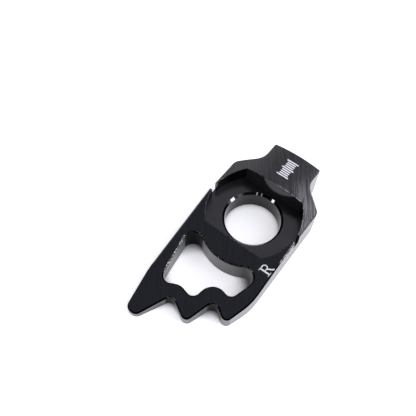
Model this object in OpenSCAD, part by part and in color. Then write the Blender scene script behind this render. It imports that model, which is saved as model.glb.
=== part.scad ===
// Axle block of a motorcycle chain adjuster, right-hand side.
// One block, milled from solid bar: a head that meets the adjuster bolt, a pocket
// with two flats round the axle bore, and a sloping tail with a window and teeth.
// Origin: axis of the axle bore, on the underside. +X runs to the head, +Z is up,
// and -Y is the outer side, so the long tooth lies along +Y. Millimetres.

/* [Axle bore] */
// Diameter of the axle bore
bore_d = 25; // [20:0.5:28]
// Chamfer on the bore's rim in the pocket
bore_chamfer = 0.95; // [0.5:0.05:1.2]

/* [Pocket] */
// Thickness of the floor under the pocket
floor_t = 9.9; // [7:0.1:12]
// Diameter of the pocket's round sides
pocket_d = 42; // [38:0.5:46]
// Width of the pocket across its two flats
pocket_flat_w = 30.4; // [29:0.2:35]
// Thinnest wall beside the pocket
rim_t = 1.2; // [0.8:0.1:3]
// Length of the gap in the wall on each side of the pocket
side_gap = 4; // [2:0.5:8]

/* [Head] */
// From the bore's axis to the face that meets the adjuster bolt
head_reach = 34.7; // [32:0.1:42]
// Height of the head beside the pocket, on the centre line
head_h = 19.8; // [17:0.1:23]
// Fall of the head's top towards its end, in degrees
head_fall = 2.7; // [0:0.1:5]
// Radius of the crown across the head's top
crown_r = 54; // [45:1:90]
// Width of the neck
neck_w = 24; // [20:0.2:28]
// Radius between the neck and a shoulder
neck_r = 7; // [4:0.5:9]
// From the bore's axis to the corner of a shoulder
shoulder_x = 17; // [15:0.1:19]
// Slope of a shoulder, in degrees
shoulder_slope = 53.4; // [45:0.5:65]
// Radius of a shoulder's corner
shoulder_r = 3.5; // [1:0.1:5]

/* [Tail] */
// Height of the tail's top, carried on to the bore's axis
tail_h = 16.5; // [14.5:0.1:18]
// Slope of the tail's top, in degrees
tail_slope = 11.5; // [10:0.1:12.5]
// From the bore's axis to the bend in the outer side
outer_bend_x = 32.5; // [29:0.1:35]
// Angle that the outer side turns in at its bend
outer_taper = 19.1; // [14:0.1:23]
// Radius of the bend in the outer side
outer_bend_r = 25; // [10:1:40]
// From the bore's axis to the bend in the inner side
inner_bend_x = 44.9; // [40:0.1:48]
// Angle that the inner side turns in at its bend
inner_taper = 7.4; // [4:0.1:11]
// Radius of the bend in the inner side
inner_bend_r = 30; // [10:1:40]

/* [Teeth] */
// From the bore's axis to the corner of the short outer tooth
outer_tooth_x = 45.6; // [43:0.1:48]
// From the bore's axis to the corner of the middle tooth
middle_tooth_x = 54.4; // [52:0.1:57]
// The middle tooth's corner, out from the centre line
middle_tooth_y = 4.15; // [2:0.05:6]
// From the bore's axis to the blunt end of the long tooth
long_tooth_x = 63.6; // [60:0.1:66]
// Width of the long tooth's blunt end
long_tooth_w = 5.5; // [4.5:0.1:7]
// From the bore's axis to the notch beside the outer tooth
outer_notch_x = 39.8; // [38.5:0.1:41]
// That notch's corner, out from the centre line
outer_notch_y = 9.05; // [8:0.05:10]
// From the bore's axis to the notch beside the long tooth
inner_notch_x = 48.5; // [47:0.1:50]
// That notch's corner, in from the centre line
inner_notch_y = 6.8; // [5.5:0.05:8]
// Radius of the two pointed teeth
tip_r = 2.6; // [1.5:0.1:3.2]
// Radius of the long tooth's two corners
long_tip_r = 3; // [1:0.1:3.2]
// Radius at the bottom of a notch
notch_r = 3; // [1.5:0.1:4]

/* [Window] */
// Web between the pocket's flat and the window, on the centre line
web_t = 9.5; // [7:0.1:12]
// Radius of the window's edge along that web
web_r = 23.6; // [22:0.1:26]
// Half of the angle that this arc spans
web_half_angle = 30.5; // [27:0.5:32]
// Rail between the window and the outer side
outer_rail_t = 6.8; // [4.5:0.1:7.5]
// Rail between the window and the inner side
inner_rail_t = 6.8; // [5.5:0.1:8]
// From a tooth's corner to the lobe of the window behind it
lobe_setback = 9.7; // [8:0.1:10.5]
// Sideways shift of the lobe behind the middle tooth
lobe_shift = 3.2; // [2:0.1:4]
// From the long tooth's blunt end to its lobe
long_lobe_setback = 16.8; // [15:0.1:18]
// Wall at the outer notch, along the part
outer_wall_x = 6.3; // [5:0.1:7]
// Wall at the outer notch, across the part
outer_wall_y = 5.4; // [4.5:0.1:6]
// Wall at the inner notch, along the part
inner_wall_x = 5.6; // [4.5:0.1:6.5]
// Radius of the window's lobes
lobe_r = 3.2; // [2:0.1:3.6]
// Radius of the bumps between the lobes
bump_r = 6.4; // [4:0.1:7.5]
// Radius of the window's two corners beside the web
window_r = 4.7; // [3:0.1:5]

/* [Edges] */
// Chamfer along the outline and the window, on top
edge_chamfer = 0.6; // [0.3:0.05:0.6]
// Chamfer along the outline, the window and the bore, underneath
foot_chamfer = 0.2; // [0.1:0.05:0.5]
// Radius of the two upright edges at the head's end
end_r = 0.7; // [0.7:0.05:1.5]

/* [Hidden] */
$fn = 96;

// Largest turn between two points of a rounded corner, in degrees
arc_step = 8;
// Longest step of an edge across the head's crown
crown_step = 2.5;
// How far a cutter runs past the face that it opens, and a chamfer past its own edge
past = 1;
chamfer_past = 0.05;
body_w = pocket_d + 2 * rim_t;
side_y = body_w / 2;
neck_x = shoulder_x + (body_w - neck_w) / 2 / tan(shoulder_slope);
head_flat_x = pocket_flat_w / 2;
blank_h = head_h + head_flat_x * tan(head_fall) + past;
blank_l = head_reach + long_tooth_x + 2 * past;

// Y of the outer and the inner side at a distance behind the bore's axis
function outer_side(x) = -side_y + max(0, x - outer_bend_x) * tan(outer_taper);
function inner_side(x) = side_y - max(0, x - inner_bend_x) * tan(inner_taper);

// Y of the window's two long edges, each parallel to its side's tapered stretch
function outer_edge(x) = -side_y + (x - outer_bend_x) * tan(outer_taper) + outer_rail_t / cos(outer_taper);
function inner_edge(x) = side_y - (x - inner_bend_x) * tan(inner_taper) - inner_rail_t / cos(inner_taper);

// Point where the line through p at angle a meets the line through q at angle b
function meet(p, a, q, b) =
    let (
        d = [cos(a), sin(a)],
        e = [cos(b), sin(b)]
    )
    p + d * cross(q - p, e) / cross(d, e);

// Length of an edge that rounding corner b by r takes up, with neighbours a and c
function edge_used(a, b, c, r) =
    let (half_angle = acos((a - b) * (c - b) / norm(a - b) / norm(c - b)) / 2)
    r / tan(half_angle);

// Arc of radius r that rounds corner b between its neighbours a and c. Each point
// comes as [point, direction out of the loop].
function corner_arc(a, b, c, r) =
    let (
        u = (a - b) / norm(a - b),
        w = (c - b) / norm(c - b),
        half_angle = acos(u * w) / 2,
        centre = b + (u + w) / norm(u + w) * r / sin(half_angle),
        start = b + u * r / tan(half_angle) - centre,
        first = atan2(start.y, start.x),
        side = cross(u, w) > 0 ? -1 : 1,
        turn = (180 - 2 * half_angle) * side,
        steps = ceil(abs(turn) / arc_step)
    )
    [for (i = [0:steps])
        let (radial = [cos(first + turn * i / steps), sin(first + turn * i / steps)])
        [centre + r * radial, side * radial]];

// The same for a point b on a straight stretch between a and c
function straight_point(a, b, c) =
    [[b, [c.y - a.y, a.x - c.x] / norm(c - a)]];

// The loop without the points that repeat the one before, where two arcs touch
function unrepeated(loop) =
    [for (i = [0:len(loop) - 1])
        if (norm(loop[i][0] - loop[(i + len(loop) - 1) % len(loop)][0]) > chamfer_past / 10) loop[i]];

// Loop through corners of the form [x, y, radius], anticlockwise. A radius gives way
// where two arcs would need more than the edge between them.
function rounded(corners) =
    let (
        n = len(corners),
        p = [for (c = corners) [c.x, c.y]],
        used = [for (i = [0:n - 1]) edge_used(p[(i + n - 1) % n], p[i], p[(i + 1) % n], corners[i].z)],
        share = [for (i = [0:n - 1]) norm(p[(i + 1) % n] - p[i]) / (used[i] + used[(i + 1) % n])]
    )
    [for (i = [0:n - 1])
        let (
            a = p[(i + n - 1) % n],
            b = p[i],
            c = p[(i + 1) % n],
            r = corners[i].z * min(1, share[i], share[(i + n - 1) % n])
        )
        each r > 0 ? corner_arc(a, b, c, r) : straight_point(a, b, c)];

// The loop with its stretches across the head's crown divided, so that they follow it
function divided(loop) =
    [for (i = [0:len(loop) - 1])
        let (
            a = loop[i],
            b = loop[(i + 1) % len(loop)],
            on_head = a[0].x > 0 && b[0].x > 0,
            parts = on_head ? max(1, ceil(abs(b[0].y - a[0].y) / crown_step)) : 1
        )
        each [for (j = [0:parts - 1]) a + (b - a) * j / parts]];

// Height of the top above point p: the crowned head or the sloping tail
function head_top(p) =
    let (sag = crown_r - sqrt(crown_r * crown_r - p.y * p.y))
    head_h - (p.x - head_flat_x) * tan(head_fall) - sag / cos(head_fall);
function tail_top(p) = tail_h + p.x * tan(tail_slope);
function top(p) = p.x > 0 ? head_top(p) : tail_top(p);

// Lines that a chamfer leaves along a loop: on the wall and on the face that it joins.
// c is negative where the wall surrounds an opening.
function top_lines(loop, c) =
    [[for (q = loop) [q[0].x, q[0].y, top(q[0]) - abs(c)]],
     [for (q = loop) let (p = q[0] - c * q[1]) [p.x, p.y, top(p)]]];
function foot_lines(loop, c) =
    [[for (q = loop) [q[0].x, q[0].y, abs(c)]],
     [for (q = loop) let (p = q[0] - c * q[1]) [p.x, p.y, 0]]];

// The block seen from above, from the head's inner corner round to its outer one. The
// two points in each side gap part the edge of the head from the edge of the tail.
outline_corners = [
    [head_reach, neck_w / 2, end_r],
    [neck_x, neck_w / 2, neck_r],
    [shoulder_x, side_y, shoulder_r],
    [side_gap / 4, side_y, 0],
    [-side_gap / 4, side_y, 0],
    [-inner_bend_x, side_y, inner_bend_r],
    [-long_tooth_x, inner_side(long_tooth_x), long_tip_r],
    [-long_tooth_x, inner_side(long_tooth_x) - long_tooth_w, long_tip_r],
    [-inner_notch_x, inner_notch_y, notch_r],
    [-middle_tooth_x, -middle_tooth_y, tip_r],
    [-outer_notch_x, -outer_notch_y, notch_r],
    [-outer_tooth_x, outer_side(outer_tooth_x), tip_r],
    [-outer_bend_x, -side_y, outer_bend_r],
    [-side_gap / 4, -side_y, 0],
    [side_gap / 4, -side_y, 0],
    [shoulder_x, -side_y, shoulder_r],
    [neck_x, -neck_w / 2, neck_r],
    [head_reach, -neck_w / 2, end_r]
];

// Where the tangents at the two ends of the web's arc cross on the centre line
web_cross = [web_r - head_flat_x - web_t - web_r / cos(web_half_angle), 0];
outer_corner = meet(web_cross, web_half_angle - 90, [0, outer_edge(0)], -outer_taper);
inner_corner = meet(web_cross, 90 - web_half_angle, [0, inner_edge(0)], inner_taper);
long_lobe_x = long_tooth_x - long_lobe_setback;
outer_lobe_x = outer_tooth_x - lobe_setback;
window_corners = [
    [outer_corner.x, outer_corner.y, window_r],
    [web_cross.x, web_cross.y, web_r],
    [inner_corner.x, inner_corner.y, window_r],
    [-long_lobe_x, inner_edge(long_lobe_x), lobe_r],
    [-inner_notch_x + inner_wall_x, inner_notch_y, bump_r],
    [-middle_tooth_x + lobe_setback, -middle_tooth_y + lobe_shift, lobe_r],
    [-outer_notch_x + outer_wall_x, -outer_notch_y + outer_wall_y, bump_r],
    [-outer_lobe_x, outer_edge(outer_lobe_x), lobe_r]
];

outline = divided(unrepeated(rounded(outline_corners)));
window_loop = unrepeated(rounded(window_corners));

// Three-sided ring that takes a chamfer off. It runs a little past the two lines, and
// flip turns its faces round, for the underside and for an opening's edge.
module edge_ring(lines, flip = false) {
    run = chamfer_past / norm(lines[0][0] - lines[1][0]);
    a = lines[0] + (lines[0] - lines[1]) * run;
    b = lines[1] + (lines[1] - lines[0]) * run;
    c = [for (i = [0:len(a) - 1]) [a[i].x, a[i].y, 2 * b[i].z - a[i].z]];
    n = len(a);
    polyhedron(
        points = flip ? [each a, each b, each c] : [each a, each c, each b],
        faces = [for (k = [0:2], i = [0:n - 1])
            let (p = k * n, q = (k + 1) % 3 * n, j = (i + 1) % n)
            each [[p + i, q + i, q + j], [p + i, q + j, p + j]]]
    );
}

// Bar stock with the block's outline
module blank() {
    linear_extrude(height = blank_h)
        polygon([for (q = outline) q[0]]);
}

// Chamfers round the outline, on top and underneath
module outline_edges() {
    edge_ring(top_lines(outline, edge_chamfer));
    edge_ring(foot_lines(outline, foot_chamfer), flip = true);
}

// What lies above the head's crowned top
module above_head() {
    difference() {
        translate([side_gap / 2, -body_w, 0])
            cube([blank_l, 2 * body_w, 2 * blank_h]);
        translate([head_flat_x, 0, head_h])
            rotate([0, 90 + head_fall, 0])
                translate([crown_r, 0, -blank_l])
                    cylinder(r = crown_r, h = 2 * blank_l, $fn = 360);
    }
}

// What lies above the tail's sloping top
module above_tail() {
    intersection() {
        translate([-blank_l - side_gap / 2, -body_w, 0])
            cube([blank_l, 2 * body_w, 2 * blank_h]);
        translate([0, 0, tail_h])
            rotate([0, -tail_slope, 0])
                translate([-2 * blank_l, -body_w, 0])
                    cube([3 * blank_l, 2 * body_w, 2 * blank_h]);
    }
}

// The two side gaps between the head and the tail, cut down to the pocket's floor
module side_gaps() {
    translate([-side_gap / 2, -body_w, floor_t])
        cube([side_gap, 2 * body_w, blank_h]);
}

// Round pocket with a flat towards the head and another towards the tail
module pocket() {
    translate([0, 0, floor_t])
        intersection() {
            cylinder(d = pocket_d, h = blank_h);
            translate([-head_flat_x, -pocket_d, 0])
                cube([pocket_flat_w, 2 * pocket_d, blank_h]);
        }
}

// Axle bore, chamfered on both rims
module bore() {
    rotate_extrude()
        polygon([
            [0, -past],
            [bore_d / 2 + foot_chamfer + past, -past],
            [bore_d / 2, foot_chamfer],
            [bore_d / 2, floor_t - bore_chamfer],
            [bore_d / 2 + bore_chamfer + past, floor_t + past],
            [0, floor_t + past]
        ]);
}

// Window through the tail, with a lobe behind each tooth
module window() {
    translate([0, 0, -past])
        linear_extrude(height = blank_h + 2 * past)
            polygon([for (q = window_loop) q[0]]);
}

// Chamfers round the window, on top and underneath
module window_edges() {
    edge_ring(top_lines(window_loop, -edge_chamfer), flip = true);
    edge_ring(foot_lines(window_loop, -foot_chamfer));
}

// The block with its edges still sharp
module sharp_block() {
    difference() {
        blank();
        above_head();
        above_tail();
        side_gaps();
        pocket();
        bore();
        window();
    }
}

module adjuster_block() {
    color("#26272c")
        difference() {
            sharp_block();
            outline_edges();
            window_edges();
        }
}

adjuster_block();
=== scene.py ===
"""Look of a motorcycle chain adjuster's axle block: milled aluminium, black anodised.

Lengths and places are in millimetres, as in the CAD source, unless a comment says metres.
Blender works in metres, so they are multiplied by MM where they go into it.
"""

import math

import bmesh
import bpy
from mathutils import Matrix, Vector

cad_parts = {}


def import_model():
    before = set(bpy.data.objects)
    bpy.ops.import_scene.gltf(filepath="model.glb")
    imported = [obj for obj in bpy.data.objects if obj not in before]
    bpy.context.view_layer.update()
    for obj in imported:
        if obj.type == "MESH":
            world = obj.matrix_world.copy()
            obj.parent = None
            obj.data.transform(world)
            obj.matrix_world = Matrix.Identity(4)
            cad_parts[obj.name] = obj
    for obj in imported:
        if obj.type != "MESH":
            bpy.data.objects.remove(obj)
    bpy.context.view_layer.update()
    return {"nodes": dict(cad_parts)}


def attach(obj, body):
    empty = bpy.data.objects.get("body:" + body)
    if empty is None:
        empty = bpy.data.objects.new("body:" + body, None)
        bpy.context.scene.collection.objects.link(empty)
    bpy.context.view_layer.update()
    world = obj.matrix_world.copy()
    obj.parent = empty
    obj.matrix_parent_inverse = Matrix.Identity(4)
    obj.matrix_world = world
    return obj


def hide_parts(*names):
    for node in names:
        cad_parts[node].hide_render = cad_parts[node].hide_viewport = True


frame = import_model()

MM = 0.001
NODE = "adjuster_block"

# The CAD block
BORE_R = 12.5
FLOOR_Z = 9.9
FLAT_X = 15.2
GAP_HALF = 2.0
POCKET_R = 21.0
HEAD_Z = 19.8
HEAD_FALL = math.radians(2.7)
CROWN_R = 54.0
TAIL_Z = 16.5
TAIL_SLOPE = math.radians(11.5)

# Faces told apart by their normals: how far one rises, and how far it points along or across
WALL_RISE = 0.2
TOP_RISE = 0.88
LEVEL_RISE = 0.9999
UNDERSIDE_RISE = -0.5
SQUARE_ON = 0.99
SIDE_WALL_TURN = 0.9
SIDE_EDGE_TURN = 0.5
FLANK_TURN = 0.8

# Faces told apart by their place
TOLERANCE = 0.1
BORE_REACH = BORE_R + 1.0
GAP_REACH = POCKET_R - 3.0
HEAD_X = 30.0
WINDOW_X = -20.0
TEETH_X = -38.0
SIDE_WALL_Y = 12.0
SIDE_EDGE_Y = 15.0
# Walls near these notches get a darker copy of their material: painted shade.
NOTCHES = ((-48.5, 6.8), (-39.8, -9.05))
NOTCH_WALL_REACH = 5.5
NOTCH_EDGE_REACH = 2.8
# The window's inner corner, whose walls get a darker copy of their material: painted shade.
WINDOW_CORNER = (-22.6, 14.3)
WINDOW_CORNER_REACH = 4.5

# Edges: the broken edge round the pocket, and where the glints along the outer side end
RIM_BREAK = 0.16
GLINT_END_X = -12.5
SHARP_ANGLE = math.radians(22)

# The CAD mesh's triangles become whole faces where they join within this gap and these radians
WELD = 0.001
FLAT_ANGLE = 0.004

# Cutter marks, and the white marks that lie on the metal
MARK_ANGLE = math.radians(35.4)
MARK_LIFT = 0.02

# The photograph's camera
VIEW_HEADING = math.radians(54.58)
VIEW_ELEVATION = math.radians(60.78)
VIEW_ROLL = math.radians(1.737)
VIEW_DISTANCE = 263.99
VIEW_TARGET = (-3.361, 21.934, 0.0)
CLIP_START = 10.0
LENS = 49.33
SENSOR = 36.0

# The table: half its width in metres, its gap under the block, and the white that it shows
TABLE_REACH = 3.0
TABLE_GAP = 0.02
TABLE_GLOW = 0.6
# How far and how much the table's glow fades near the block: painted shade in corners and in what the
# walls mirror.
SHADOW_REACH = 10.0
SHADOW_STEP = (0.32, 0.54)
MIRRORED_STEP = (0.2, 0.75, 0.25 * TABLE_GLOW, 1.35 * TABLE_GLOW)

# The sky's brightness in smooth steps, along the block, towards the long tooth's side and upwards.
# A step holds two components of the direction and the brightness that it adds at each.
SKY_ALONG = ((-0.4, -0.16, 0.02, 0.7), (-0.16, 0.0, 0.0, -0.48), (0.0, 0.45, 0.0, 0.9))
SKY_ACROSS = ((-0.6, -0.12, 3.3, 0.8), (0.0, 0.35, 0.0, -0.2), (0.38, 0.62, 0.0, 0.75))
SKY_UP = (0.1, 0.45, 0.03, 1.0)
SKY_BEHIND_TAIL = (0.86, 0.92, 1.12, 1.0)
SKY_BEYOND_HEAD = (1.0, 0.97, 1.05, 1.0)
SKY_TINT_STEP = (0.0, 0.5)

# Small lamps for the glints: heading and elevation in degrees, size in metres, power in watts
LAMPS = {
    "lamp_right": (-77.4, 19.5, 0.19, 3.6),
    "lamp_left": (152.8, 25.0, 0.115, 1.33),
    "lamp_far": (-153.5, 31.0, 0.04, 0.12),
    "lamp_near": (-168.4, 31.0, 0.035, 0.04),
}


def head_top(x, y):
    """Height of the head's crowned top."""
    sag = CROWN_R - math.sqrt(CROWN_R**2 - y**2)
    return HEAD_Z - (x - FLAT_X) * math.tan(HEAD_FALL) - sag / math.cos(HEAD_FALL)


def tail_top(x, y):
    """Height of the tail's sloping top, which is the same all across."""
    return TAIL_Z + x * math.tan(TAIL_SLOPE)


class Nodes:
    """A short way to add and link shader nodes."""

    def __init__(self, tree):
        self.tree = tree
        self.tree.nodes.clear()

    def add(self, kind, settings=None, **inputs):
        """Adds a node. Inputs go by socket name, with underscores for spaces, or as i and a number."""
        node = self.tree.nodes.new(kind)
        for name, value in (settings or {}).items():
            setattr(node, name, value)
        for name, value in inputs.items():
            self.put(node, name.replace("_", " "), value)
        return node

    def put(self, node, name, value):
        """Links an input to a socket, or sets it to anything else."""
        numbered = name[0] == "i" and name[1:].isdigit()
        socket = node.inputs[int(name[1:]) if numbered else name]
        if isinstance(value, bpy.types.NodeSocket):
            self.tree.links.new(value, socket)
        else:
            socket.default_value = value

    def math(self, operation, a, b):
        return self.add("ShaderNodeMath", {"operation": operation}, i0=a, i1=b).outputs[0]

    def dot(self, vector, axis):
        """The component of a vector socket along a fixed axis."""
        node = self.add("ShaderNodeVectorMath", {"operation": "DOT_PRODUCT"}, i0=vector, i1=axis)
        return node.outputs["Value"]

    def ramp(self, value, low, high, out_low=0.0, out_high=1.0):
        """A smooth step from out_low at low to out_high at high."""
        node = self.add(
            "ShaderNodeMapRange", {"interpolation_type": "SMOOTHSTEP"},
            i0=value, i1=low, i2=high, i3=out_low, i4=out_high,
        )
        return node.outputs[0]

    def ramps(self, value, steps):
        """The sum of several smooth steps."""
        total = self.ramp(value, *steps[0])
        for step in steps[1:]:
            total = self.math("ADD", total, self.ramp(value, *step))
        return total

    def noise(self, x, y, **inputs):
        """Flat noise at a place given by two sockets."""
        place = self.add("ShaderNodeCombineXYZ", X=x, Y=y).outputs[0]
        flat = {"noise_dimensions": "2D"}
        return self.add("ShaderNodeTexNoise", flat, Vector=place, Scale=1.0, **inputs).outputs[0]

    def bump(self, height):
        """A bump from a height in millimetres."""
        return self.add("ShaderNodeBump", Strength=1.0, Distance=MM, Height=height).outputs[0]

    def mix_colour(self, factor, a, b):
        node = self.add("ShaderNodeMix", {"data_type": "RGBA"}, Factor=factor)
        self.put(node, "i6", a)
        self.put(node, "i7", b)
        return node.outputs[2]

    def surface(self, **inputs):
        """The material's shader and its output."""
        shader = self.add("ShaderNodeBsdfPrincipled", **inputs)
        self.add("ShaderNodeOutputMaterial", Surface=shader.outputs[0])


def new_material(name):
    material = bpy.data.materials.new(name)
    material.use_nodes = True
    return material, Nodes(material.node_tree)


def plain_surface(name, colour, roughness, ior=1.5):
    """A surface of one colour."""
    material, n = new_material(name)
    n.surface(Base_Color=(*colour, 1.0), Roughness=roughness, IOR=ior)
    return material


def milled_anodise(name, colour, roughness, pitch, depth, mark_highlight, side_highlight=0.0, side_gain=0.0):
    """Anodised surface with cutter marks that run across the block at the photographed angle.

    mark_highlight is how light the marks are painted: a painted highlight for the light that they catch.
    side_highlight and side_gain add to that and to the depth on the outer side, where the marks stand out.
    """
    sway_across, sway_along, sway_size = 0.25, 0.16, 1.6
    mark_stretch = 0.05
    mark_low, mark_high = 0.46, 0.58
    mark_highlight_colour = (0.6, 0.59, 0.63, 1.0)
    side_axis = (-0.35 / MM, -1.0 / MM, 0.0)
    side_low, side_high = -3.0, 7.0

    material, n = new_material(name)
    where = n.add("ShaderNodeTexCoord").outputs["Object"]
    across = n.dot(where, (math.sin(MARK_ANGLE) / MM, -math.cos(MARK_ANGLE) / MM, 0.0))
    along = n.dot(where, (math.cos(MARK_ANGLE) / MM, math.sin(MARK_ANGLE) / MM, 0.0))
    sway_x = n.math("MULTIPLY", across, sway_across)
    sway_y = n.math("MULTIPLY", along, sway_along)
    sway = n.noise(sway_x, sway_y, Detail=1.0)
    step = n.math("ADD", n.math("DIVIDE", across, pitch), n.math("MULTIPLY", sway, sway_size))
    marks = n.noise(step, n.math("MULTIPLY", along, mark_stretch), Detail=2.0, Roughness=0.6)
    side = n.ramp(n.dot(where, side_axis), side_low, side_high)
    strength = n.math("MULTIPLY", n.math("ADD", n.math("MULTIPLY", side, side_gain), 1.0), depth)
    normal = n.bump(n.math("MULTIPLY", n.math("SUBTRACT", marks, 0.5), strength))
    # Painted highlight: the marks are lightened in the base colour, more on the outer side.
    side_light = n.math("ADD", n.math("MULTIPLY", side, side_highlight), mark_highlight)
    light = n.math("MULTIPLY", n.ramp(marks, mark_low, mark_high), side_light)
    shade = n.mix_colour(light, (*colour, 1.0), mark_highlight_colour)
    n.surface(Base_Color=shade, Roughness=roughness, IOR=1.5, Normal=normal)
    return material


def rippled_anodise(name, colour, roughness, pitch, depth, glint_dots=0.0):
    """Anodised edge with the small ripples a cutter leaves, which break up its glints.

    glint_dots is how bright the painted glints on the ripples' crests are, on the outer side of the head.
    """
    crest_low, crest_high = 0.5, 0.56
    glint_colour = (1.0, 0.98, 1.0, 1.0)
    outer_low, outer_high = -1.0, 4.0
    head_low, head_high = 3.0, 6.0

    material, n = new_material(name)
    where = n.add("ShaderNodeTexCoord").outputs["Object"]
    noise = n.add("ShaderNodeTexNoise", Vector=where, Scale=1.0 / (pitch * MM), Detail=1.0).outputs[0]
    normal = n.bump(n.math("MULTIPLY", noise, depth))
    shade = (*colour, 1.0)
    # Painted glints: white dots on the ripples' crests along the head's outer side.
    if glint_dots:
        outer = n.ramp(n.dot(where, (0.0, -1.0 / MM, 0.0)), outer_low, outer_high, 0.0, glint_dots)
        head = n.ramp(n.dot(where, (1.0 / MM, 0.0, 0.0)), head_low, head_high)
        painted_glint = n.math("MULTIPLY", n.ramp(noise, crest_low, crest_high), n.math("MULTIPLY", outer, head))
        shade = n.mix_colour(painted_glint, shade, glint_colour)
    n.surface(Base_Color=shade, Roughness=roughness, IOR=1.5, Normal=normal)
    return material


def block_materials():
    """A material for each kind of face, and for the broken edge round the pocket."""
    deep = (0.002, 0.002, 0.003)
    plain = (0.006, 0.006, 0.008)
    return {
        # The head's marks are painted lighter on its outer side: painted highlight.
        "head_top": milled_anodise(
            "head_top", (0.004, 0.004, 0.005), 0.28,
            pitch=0.8, depth=0.09, mark_highlight=0.02, side_highlight=0.14, side_gain=1.2,
        ),
        "tail_top": milled_anodise(
            "tail_top", (0.004, 0.004, 0.006), 0.3,
            pitch=0.7, depth=0.05, mark_highlight=0.006,
        ),
        "pocket_floor": plain_surface("pocket_floor", (0.016, 0.0155, 0.018), 0.22),
        "pocket_wall": plain_surface("pocket_wall", (0.0, 0.0, 0.0), 0.05, 1.18),
        # Painted light: the outer walls are a lighter, more reflective copy of the black anodise, standing
        # in for the bright table they mirror.
        "outer_wall": plain_surface("outer_wall", (0.055, 0.054, 0.06), 0.3, 2.4),
        "window_wall": plain_surface("window_wall", deep, 0.2, 1.46),
        "bore_wall": plain_surface("bore_wall", deep, 0.08, 1.27),
        "gap_wall": plain_surface("gap_wall", plain, 0.25),
        "chamfer": rippled_anodise("chamfer", (0.0005, 0.0005, 0.0008), 0.11, pitch=0.8, depth=0.26),
        "underside": plain_surface("underside", plain, 0.4),
        # Painted shade: darker copies of the outer wall on the teeth and in the notches.
        "tooth_wall_shaded": plain_surface("tooth_wall_shaded", (0.01, 0.01, 0.012), 0.3, 1.87),
        "notch_wall_shaded": plain_surface("notch_wall_shaded", deep, 0.2, 1.1),
        "bore_chamfer": plain_surface("bore_chamfer", (0.001, 0.001, 0.0015), 0.08),
        # Painted light: the pocket's flat wall is a lighter copy of the black pocket wall.
        "pocket_flat_lit": plain_surface("pocket_flat_lit", (0.03, 0.03, 0.034), 0.05, 1.3),
        # The pocket's broken edge, with painted glints on its crests.
        "rim": rippled_anodise("rim", (0.01, 0.01, 0.012), 0.15, pitch=0.6, depth=0.3, glint_dots=0.9),
        # Painted shade: a darker copy of the window wall in its inner corner.
        "window_corner_shaded": plain_surface("window_corner_shaded", deep, 0.2, 1.08),
        # Painted shade: a black copy of the edge, without glints, along the teeth and the lower outer
        # side.
        "tooth_chamfer_shaded": plain_surface("tooth_chamfer_shaded", (0.0, 0.0, 0.0), 0.2, 1.08),
        # Painted shade: a darker copy of the outer wall on the teeth's flanks.
        "tooth_flank": plain_surface("tooth_flank", (0.006, 0.006, 0.007), 0.3, 1.58),
    }


def middle(face):
    return face.calc_center_median() / MM


def distance(point, place):
    """Distance in plan from a point to a place given as x and y."""
    return math.hypot(point.x - place[0], point.y - place[1])


def at(length, place):
    return abs(length - place) < TOLERANCE


def upright(face):
    return abs(face.normal.z) < WALL_RISE


def at_side_gap(face):
    """Whether an upright face is one of the short ones that end the wall at a side gap."""
    centre = middle(face)
    return abs(face.normal.x) > SQUARE_ON and at(abs(centre.x), GAP_HALF) and abs(centre.y) > GAP_REACH


def wall_groups(bm):
    """Upright faces in connected groups, without those at the side gaps."""
    left = {face for face in bm.faces if upright(face) and not at_side_gap(face)}
    groups = []
    while left:
        stack = [left.pop()]
        group = set(stack)
        while stack:
            for edge in stack.pop().edges:
                for other in edge.link_faces:
                    if other in left:
                        left.remove(other)
                        group.add(other)
                        stack.append(other)
        groups.append(group)
    return groups


def chamfer_kind(centre):
    """The kind of a sloping edge face. Away from the notches, those at the teeth have no glints: a black
    copy of the edge material paints shade there.
    """
    in_notch = min(distance(centre, notch) for notch in NOTCHES) < NOTCH_EDGE_REACH
    past_glints = centre.x < TEETH_X or centre.y < -SIDE_EDGE_Y and centre.x < GLINT_END_X
    if centre.xy.length < BORE_REACH:
        return "bore_chamfer"
    return "tooth_chamfer_shaded" if past_glints and not in_notch else "chamfer"


def single_kind(face):
    """The kind of a face by itself. An upright one counts as a side gap's until its group is known."""
    centre = middle(face)
    if upright(face):
        return "gap_wall"
    if face.normal.z < UNDERSIDE_RISE:
        return "underside"
    if face.normal.z < TOP_RISE:
        return chamfer_kind(centre)
    if at(centre.z, FLOOR_Z) and face.normal.z > LEVEL_RISE:
        return "pocket_floor"
    return "head_top" if centre.x > 0 else "tail_top"


def group_kind(group):
    """The kind of a connected group of walls."""
    centres = [middle(face) for face in group]
    reach = max(centre.xy.length for centre in centres)
    front = max(centre.x for centre in centres)
    if reach < BORE_REACH:
        return "bore_wall"
    if front > HEAD_X:
        return "outer_wall"
    return "window_wall" if front < WINDOW_X else "pocket_wall"


def wall_kind(face, kind):
    """The kind of one wall, lighter or darker than its group where a lit or shaded copy of the group's
    material paints light or shade on it: the pocket's flat wall, the window's corner, the teeth and the
    notches.
    """
    centre = middle(face)
    along_side = abs(face.normal.y) > SIDE_WALL_TURN and abs(centre.y) > SIDE_WALL_Y
    if kind == "pocket_wall" and at(abs(centre.x), FLAT_X):
        return "pocket_flat_lit"
    if kind == "window_wall" and distance(centre, WINDOW_CORNER) < WINDOW_CORNER_REACH:
        return "window_corner_shaded"
    if kind == "outer_wall" and centre.x < TEETH_X and not along_side:
        if min(distance(centre, notch) for notch in NOTCHES) < NOTCH_WALL_REACH:
            return "notch_wall_shaded"
        return "tooth_flank" if face.normal.y < -FLANK_TURN else "tooth_wall_shaded"
    return kind


def face_kinds(bm):
    """The kind of every face."""
    kinds = {face: single_kind(face) for face in bm.faces}
    for group in wall_groups(bm):
        kind = group_kind(group)
        for face in group:
            kinds[face] = wall_kind(face, kind)
    return kinds


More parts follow.
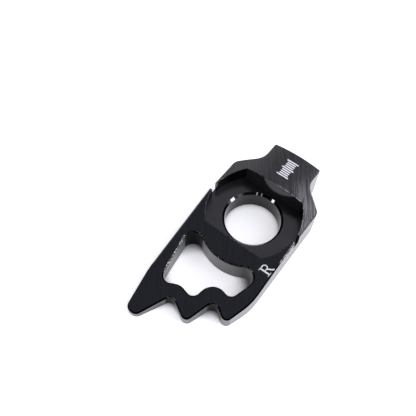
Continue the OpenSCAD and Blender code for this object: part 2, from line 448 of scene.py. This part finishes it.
def cut_outer_chamfer(bm):
    """Divides the outer side's long chamfer where its glints end. Its shape stays."""
    parts = {}
    for face in bm.faces:
        chamfer = WALL_RISE < face.normal.z < TOP_RISE
        if chamfer and face.normal.y < -SIDE_EDGE_TURN and middle(face).y < -SIDE_EDGE_Y:
            parts.update(dict.fromkeys((face, *face.edges, *face.verts)))
    place = (GLINT_END_X * MM, 0.0, 0.0)
    bmesh.ops.bisect_plane(bm, geom=list(parts), plane_co=place, plane_no=(1.0, 0.0, 0.0))


def sorted_mesh(materials):
    """A copy of the CAD block's mesh with its materials, and with a bevel weight on the pocket's edge."""
    bm = bmesh.new()
    bm.from_mesh(frame["nodes"][NODE].data)
    bmesh.ops.remove_doubles(bm, verts=bm.verts, dist=WELD * MM)
    bmesh.ops.dissolve_limit(bm, angle_limit=FLAT_ANGLE, verts=bm.verts, edges=bm.edges)
    bm.normal_update()
    cut_outer_chamfer(bm)
    bevel = bm.edges.layers.float.new("bevel_weight_edge")
    kinds = face_kinds(bm)
    slots = list(materials)
    for face, kind in kinds.items():
        face.material_index = slots.index(kind)
    tops = {"head_top", "tail_top"}
    pocket_walls = {"pocket_wall", "pocket_flat_lit", "gap_wall"}
    for edge in bm.edges:
        beside = {kinds[face] for face in edge.link_faces}
        if beside & tops and beside & pocket_walls:
            edge[bevel] = 1.0
    mesh = bpy.data.meshes.new("block")
    for material in materials.values():
        mesh.materials.append(material)
    bm.to_mesh(mesh)
    bm.free()
    return mesh


def sharpen(mesh):
    """Smooth shading, broken where two kinds of face meet and at edges sharper than SHARP_ANGLE."""
    bm = bmesh.new()
    bm.from_mesh(mesh)
    for face in bm.faces:
        face.smooth = True
    for edge in bm.edges:
        kinds = {face.material_index for face in edge.link_faces}
        edge.smooth = len(kinds) == 1 and edge.calc_face_angle(0.0) < SHARP_ANGLE
    bm.to_mesh(mesh)
    bm.free()


def block_piece(materials):
    """The CAD block with a material for each kind of face and its pocket's edge broken."""
    piece = bpy.data.objects.new("block", sorted_mesh(materials))
    bpy.context.scene.collection.objects.link(piece)
    modifier = piece.modifiers.new("edges", "BEVEL")
    modifier.limit_method = "WEIGHT"
    modifier.width = RIM_BREAK * MM
    modifier.segments = 1
    modifier.use_clamp_overlap = False
    modifier.material = list(materials).index("rim")
    graph = bpy.context.evaluated_depsgraph_get()
    done = bpy.data.meshes.new_from_object(piece.evaluated_get(graph))
    piece.modifiers.clear()
    piece.data = done
    sharpen(done)
    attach(piece, "root")
    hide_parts(NODE)


def stroke(points, width, surface):
    """Corners and faces of a thin band along a line on a surface."""
    corners = []
    for i, (x, y) in enumerate(points):
        before = Vector(points[max(i - 1, 0)])
        after = Vector(points[min(i + 1, len(points) - 1)])
        along = (after - before).normalized()
        for turn in (1, -1):
            px, py = x - along.y * width / 2 * turn, y + along.x * width / 2 * turn
            corners.append((px * MM, py * MM, (surface(px, py) + MARK_LIFT) * MM))
    faces = [(2 * i, 2 * i + 1, 2 * i + 3, 2 * i + 2) for i in range(len(points) - 1)]
    return corners, faces


def mark(name, strokes, material):
    """One piece made of bands that lie on the block."""
    corners = []
    faces = []
    for band_corners, band_faces in strokes:
        faces += [tuple(v + len(corners) for v in face) for face in band_faces]
        corners += band_corners
    mesh = bpy.data.meshes.new(name)
    mesh.from_pydata(corners, [], faces)
    mesh.materials.append(material)
    piece = bpy.data.objects.new(name, mesh)
    bpy.context.scene.collection.objects.link(piece)
    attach(piece, "root")


def side_letter(material):
    """The plain letter that says which side of the motorcycle the block goes on."""
    height = 4.75
    foot = Vector((-18.9, -21.2))
    right = Vector((0.985, -0.10)).normalized()
    up = Vector((0.0, 1.0))

    def place(points):
        return [tuple(foot + right * (u * height) + up * (v * height)) for u, v in points]

    # Shares of the letter's height: the bowl is half an ellipse between two short straights
    bowl_x, bowl_y, bowl_out, bowl_rise, bowl_steps = 0.32, 0.74, 0.17, 0.225, 12
    bowl = [(0.02, 0.97), (0.3, 0.97)]
    for i in range(bowl_steps + 1):
        a = math.radians(90 - 180 * i / bowl_steps)
        bowl.append((bowl_x + bowl_out * math.cos(a), bowl_y + bowl_rise * math.sin(a)))
    bowl += [(0.3, 0.515), (0.02, 0.515)]
    stem = [(0.0, -0.02), (0.0, 1.0)]
    foot_serif = [(-0.2, 0.0), (0.2, 0.0)]
    head_serif = [(-0.2, 0.98), (0.1, 0.98)]
    leg = [(0.24, 0.52), (0.34, 0.4), (0.44, 0.2), (0.54, 0.04), (0.66, 0.0)]
    lines = ((stem, 0.62), (foot_serif, 0.32), (head_serif, 0.32), (bowl, 0.46), (leg, 0.55))
    mark("side_mark", [stroke(place(points), width, tail_top) for points, width in lines], material)


def index_lines(material):
    """A plain row of setting lines on the head, square to the block's length."""
    first, last = Vector((20.6, -0.5)), Vector((29.4, -0.5))
    across = Vector((0.0, -1.0))
    count, long_every = 9, 4
    long_half, short_half = 2.9, 2.1
    width, steps = 0.62, 6
    strokes = []
    for i in range(count):
        centre = first.lerp(last, i / (count - 1))
        half = long_half if i % long_every == 0 else short_half
        points = [tuple(centre + across * (half * (j * 2 / steps - 1))) for j in range(steps + 1)]
        strokes.append(stroke(points, width, head_top))
    mark("index_mark", strokes, material)


def camera():
    """A camera at the photograph's viewing angle."""
    sin, cos = math.sin, math.cos
    flat, down = cos(VIEW_ELEVATION), -sin(VIEW_ELEVATION)
    forward = Vector((flat * sin(VIEW_HEADING), flat * cos(VIEW_HEADING), down))
    level = Vector((cos(VIEW_HEADING), -sin(VIEW_HEADING), 0.0))
    rise = level.cross(forward)
    right = cos(VIEW_ROLL) * level + sin(VIEW_ROLL) * rise
    up = cos(VIEW_ROLL) * rise - sin(VIEW_ROLL) * level
    data = bpy.data.cameras.new("camera")
    data.sensor_width = SENSOR
    data.lens = LENS
    data.clip_start = CLIP_START * MM
    cam = bpy.data.objects.new("camera", data)
    bpy.context.scene.collection.objects.link(cam)
    place = Vector(VIEW_TARGET) * MM - VIEW_DISTANCE * MM * forward
    turn = Matrix((right, up, -forward)).transposed().to_4x4()
    cam.matrix_world = Matrix.Translation(place) @ turn
    bpy.context.scene.camera = cam


def table_material():
    """White that keeps the block's shadow, with painted shade: near the block its glow fades by ambient
    occlusion, darkest in corners, and so does its mirrored white where the block encloses it.
    """
    material, n = new_material("white_table")
    path = n.add("ShaderNodeLightPath")
    near = n.add("ShaderNodeAmbientOcclusion", {"samples": 16}, Distance=SHADOW_REACH * MM).outputs["AO"]
    unshaded = n.math("MULTIPLY", path.outputs["Is Camera Ray"], n.ramp(near, *SHADOW_STEP))
    seen = n.math("MULTIPLY", unshaded, TABLE_GLOW)
    mirrored = n.math("MULTIPLY", path.outputs["Is Glossy Ray"], n.ramp(near, *MIRRORED_STEP))
    diffuse = n.add("ShaderNodeBsdfDiffuse", Color=(0.9, 0.895, 0.9, 1.0))
    glow = n.add("ShaderNodeEmission", Color=(1.0, 0.99, 1.0, 1.0), Strength=n.math("ADD", seen, mirrored))
    both = n.add("ShaderNodeAddShader", i0=diffuse.outputs[0], i1=glow.outputs[0])
    n.add("ShaderNodeOutputMaterial", Surface=both.outputs[0])
    return material


def floor():
    mesh = bpy.data.meshes.new("floor")
    corners = [(x * TABLE_REACH, y * TABLE_REACH, 0) for x, y in ((-1, -1), (1, -1), (1, 1), (-1, 1))]
    mesh.from_pydata(corners, [], [(0, 1, 2, 3)])
    mesh.materials.append(table_material())
    piece = bpy.data.objects.new("floor", mesh)
    bpy.context.scene.collection.objects.link(piece)
    piece.location.z = -TABLE_GAP * MM


def world():
    """White behind the object for the camera, and a soft sky that is brightest beyond the head."""
    scene_world = bpy.data.worlds.new("studio")
    bpy.context.scene.world = scene_world
    scene_world.use_nodes = True
    n = Nodes(scene_world.node_tree)
    direction = n.add("ShaderNodeTexCoord").outputs["Generated"]
    along = n.dot(direction, (1.0, 0.0, 0.0))
    across = n.dot(direction, (0.0, 1.0, 0.0))
    up = n.dot(direction, (0.0, 0.0, 1.0))
    level = n.math("MULTIPLY", n.ramps(along, SKY_ALONG), n.ramps(across, SKY_ACROSS))
    level = n.math("MULTIPLY", level, n.ramp(up, *SKY_UP))
    tint = n.mix_colour(n.ramp(along, *SKY_TINT_STEP), SKY_BEHIND_TAIL, SKY_BEYOND_HEAD)
    soft = n.add("ShaderNodeBackground", Color=tint, Strength=level)
    white = n.add("ShaderNodeBackground", Color=(1.0, 1.0, 1.0, 1.0), Strength=1.0)
    path = n.add("ShaderNodeLightPath")
    seen = path.outputs["Is Camera Ray"]
    both = n.add("ShaderNodeMixShader", i0=seen, i1=soft.outputs[0], i2=white.outputs[0])
    n.add("ShaderNodeOutputWorld", Surface=both.outputs[0])


def small_lamp(name, heading, elevation, size, power):
    """A square lamp, a metre from the axle bore and facing it."""
    data = bpy.data.lights.new(name, "AREA")
    data.shape = "SQUARE"
    data.size = size
    data.energy = power
    lamp = bpy.data.objects.new(name, data)
    bpy.context.scene.collection.objects.link(lamp)
    turn, rise = math.radians(heading), math.radians(elevation)
    way = Vector((math.cos(rise) * math.cos(turn), math.cos(rise) * math.sin(turn), math.sin(rise)))
    lamp.location = way
    lamp.rotation_euler = way.to_track_quat("Z", "Y").to_euler()


block_piece(block_materials())
white_mark = plain_surface("white_mark", (0.93, 0.92, 0.94), 0.5)
side_letter(white_mark)
index_lines(white_mark)
camera()
floor()
world()
for lamp_name, settings in LAMPS.items():
    small_lamp(lamp_name, *settings)

bpy.context.scene.view_settings.view_transform = "Standard"
